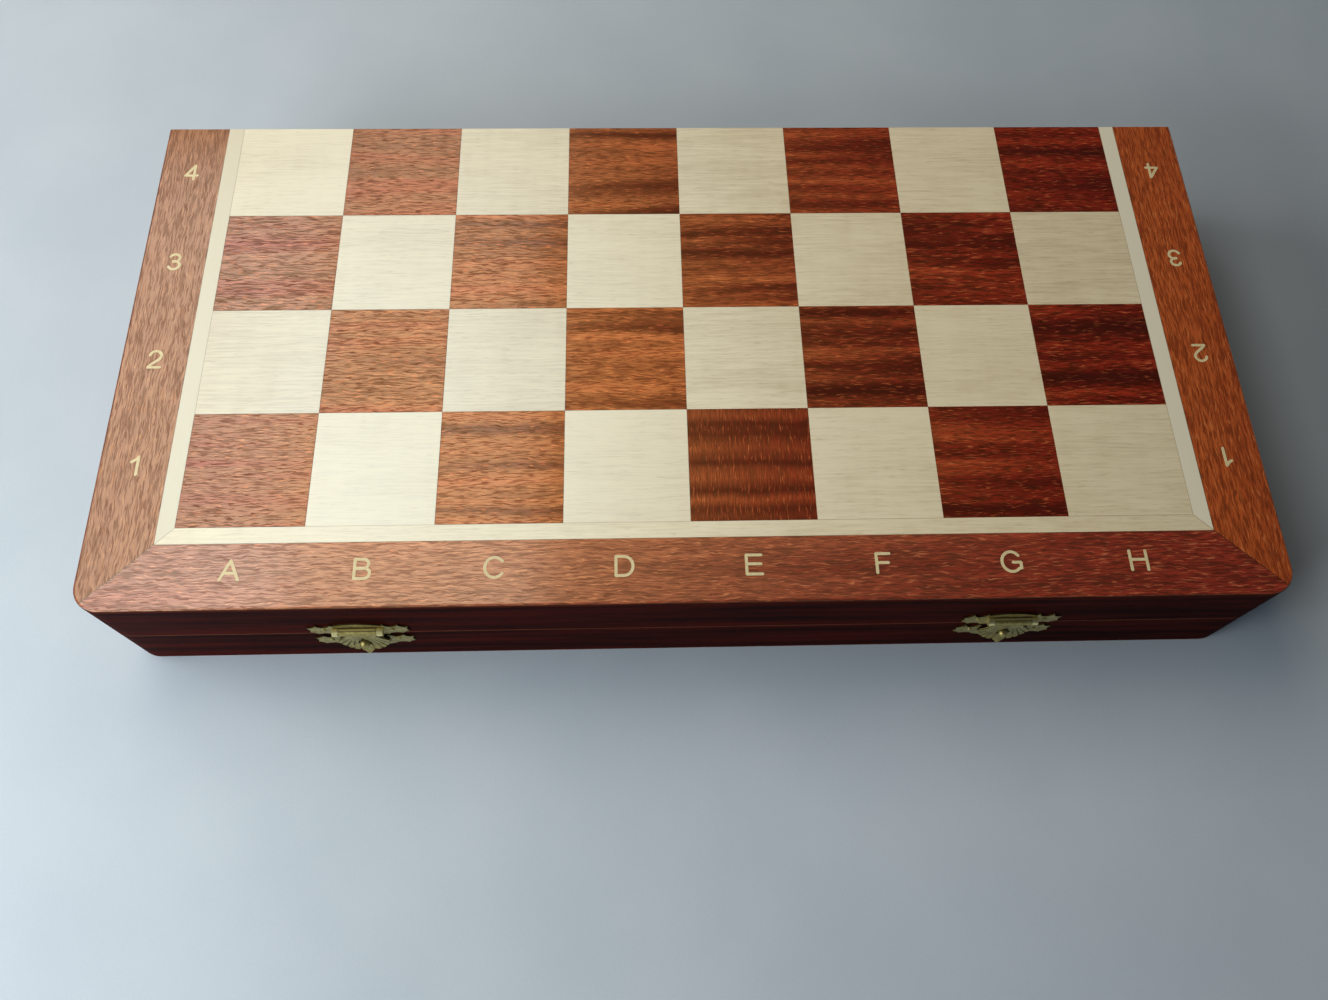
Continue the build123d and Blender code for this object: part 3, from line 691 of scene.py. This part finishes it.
def inlay(name, signs, half):
    """Joins the signs of one border, each given as its sign, its spot and whether it is turned."""
    under = half == "lower"
    made = [stroke for sign, spot, turned in signs for stroke in glyph(sign, spot, turned, under)]
    bpy.ops.object.select_all(action="DESELECT")
    for piece in made:
        piece.select_set(True)
    bpy.context.view_layer.objects.active = made[0]
    bpy.ops.object.join()
    row = bpy.context.object
    row.name = name
    bpy.ops.object.mode_set(mode="EDIT")
    bpy.ops.mesh.select_all(action="SELECT")
    bpy.ops.mesh.quads_convert_to_tris()
    bpy.ops.mesh.normals_make_consistent(inside=False)
    bpy.ops.object.mode_set(mode="OBJECT")
    reshape(row, "filling", "SOLIDIFY", thickness=FILLING, offset=0.0)
    bpy.ops.object.mode_set(mode="EDIT")
    bpy.ops.mesh.select_all(action="SELECT")
    bpy.ops.mesh.intersect_boolean(operation="UNION", use_self=True, solver="EXACT")
    bpy.ops.mesh.select_all(action="SELECT")
    bpy.ops.mesh.normals_make_consistent(inside=False)
    bpy.ops.object.mode_set(mode="OBJECT")
    row.data.materials.append(letter_finish.material)
    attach(row, f"{half}_case")


for half in ("lower", "upper"):
    under = half == "lower"
    signs = []
    for file, sign in enumerate("ABCDEFGH"):
        x = (file + 0.5) * SQUARE - FIELD_HALF + LETTER_STRAY_X[0] + LETTER_STRAY_X[1] * file
        y = LETTER_ROW + LETTER_STRAY_Y[0] + LETTER_STRAY_Y[1] * file
        signs.append((sign, (x, y), under))
    inlay(f"{half}_letters", signs, half)
    for hand, side in (("left", -1), ("right", 1)):
        start, step = DIGIT_STRAY[hand]
        signs = []
        for row in range(4):
            sign = str(8 - row if under else row + 1)
            y = FIELD_FRONT + (row + 0.5) * SQUARE + start + step * row
            signs.append((sign, (side * DIGIT_COLUMN, y), side > 0))
        inlay(f"{half}_{hand}_digits", signs, half)


# Hinges: pressed brass butts, let into the back walls' rims, with turned pins and slotted screws.
# The brass is bright, brushed along X and a little patinated.
hinge_finish = Finish("bright_brass", Metallic=1.0)
patina = hinge_finish.noise(hinge_finish.place, 0.35, 4.0, 0.65)
brush_marks = hinge_finish.point(hinge_finish.x * 0.15, hinge_finish.y * 5.0, hinge_finish.z * 5.0)
brushed = hinge_finish.noise(brush_marks, 1.0, 3.0)
hinge_finish.feed(
    Base_Color=patina.above(0.35, 0.75).blend(*palette((206, 182, 112), (158, 132, 74))),
    Roughness=brushed * 0.2 + patina * 0.15 + 0.18,
)
hinge_finish.emboss(brushed, 0.01 * MM)
for hand in ("left", "right"):
    for piece in ("lower_leaf", "lower_screws", "pin", "upper_leaf", "upper_screws"):
        dress(hinge_finish, f"{hand}_hinge_{piece}")


# Latches: stamped sheet brass with a dull olive lacquer. The upper plate's barrel carries the
# fan-shaped hasp, whose eye snaps over the ball of the lower plate's tongue. Shade is painted dark
# into the stamped flutes, round the eye and at cut edges, and a highlight on the barrels and ears.
LATCH_MIDDLES = (-145.2, 142.4)
BALL_HEIGHT = 26.7
BARREL_START = 12.6
EYE_RADIUS = 2.6
PLATE_FACE = 129.3
HASP_FACE = 131.2
LATCH_PIECES = {
    "hasps": ("hasp",),
    "plates": ("upper_plate", "lower_plate"),
    "studs": ("upper_nails", "lower_nails", "ball_stud", "pin"),
}
for kind, pieces in LATCH_PIECES.items():
    latch_finish = Finish(f"olive_brass_{kind}", Metallic=0.85)
    tarnish = latch_finish.noise(latch_finish.place, 0.5, 4.0, 0.65)
    pits = latch_finish.noise(latch_finish.place, 3.0, 3.0, 0.6)
    if kind == "hasps":
        to_left, to_right = [
            (latch_finish.x - middle).maths("ABSOLUTE") for middle in LATCH_MIDDLES
        ]
        aside = to_left.maths("MINIMUM", to_right)
        rise = latch_finish.z - BALL_HEIGHT
        reach = (aside * aside + rise * rise).maths("SQRT")
        behind = latch_finish.y + HASP_FACE
        # The hasp's barrel gets a painted highlight: a pale colour where it curls back from the
        # hasp's face.
        rolled_highlight = rise.above(BARREL_START, BARREL_START + 0.4) * behind.above(0.3, 0.5)
        hollow = behind.above(0.08, 0.16) * (1 - behind.above(0.35, 0.45)) * (1 - rolled_highlight)
        # Painted shade: dark in the flute hollows and at the hasp's edges, and in a ring round the
        # eye.
        painted_shade = hollow.maths("MAXIMUM", 1 - reach.above(EYE_RADIUS + 0.3, EYE_RADIUS + 0.7))
    elif kind == "plates":
        behind = latch_finish.y + PLATE_FACE
        # The plates' curled ears get the same painted highlight.
        rolled_highlight = (behind * -1.0).above(0.3, 0.5)
        # Painted shade along the plates' cut edges.
        painted_shade = behind.above(0.1, 0.2)
    else:
        rolled_highlight = painted_shade = tarnish * 0.0
    olive = tarnish.above(0.3, 0.75).blend(*palette((190, 176, 112), (138, 124, 70)))
    # Painted highlight on the barrels and ears.
    olive = rolled_highlight.blend(olive, paint(240, 226, 160))
    latch_finish.feed(
        # The dark brown here is the painted shade.
        Base_Color=(painted_shade * 0.9).blend(olive, paint(52, 42, 20)),
        Roughness=tarnish * 0.2 + pits * 0.15 + painted_shade * 0.3 - rolled_highlight * 0.12 + 0.26,
    )
    latch_finish.emboss(pits * 0.4 + tarnish, 0.04 * MM)
    for hand in ("left", "right"):
        dress(latch_finish, *(f"{hand}_latch_{piece}" for piece in pieces))
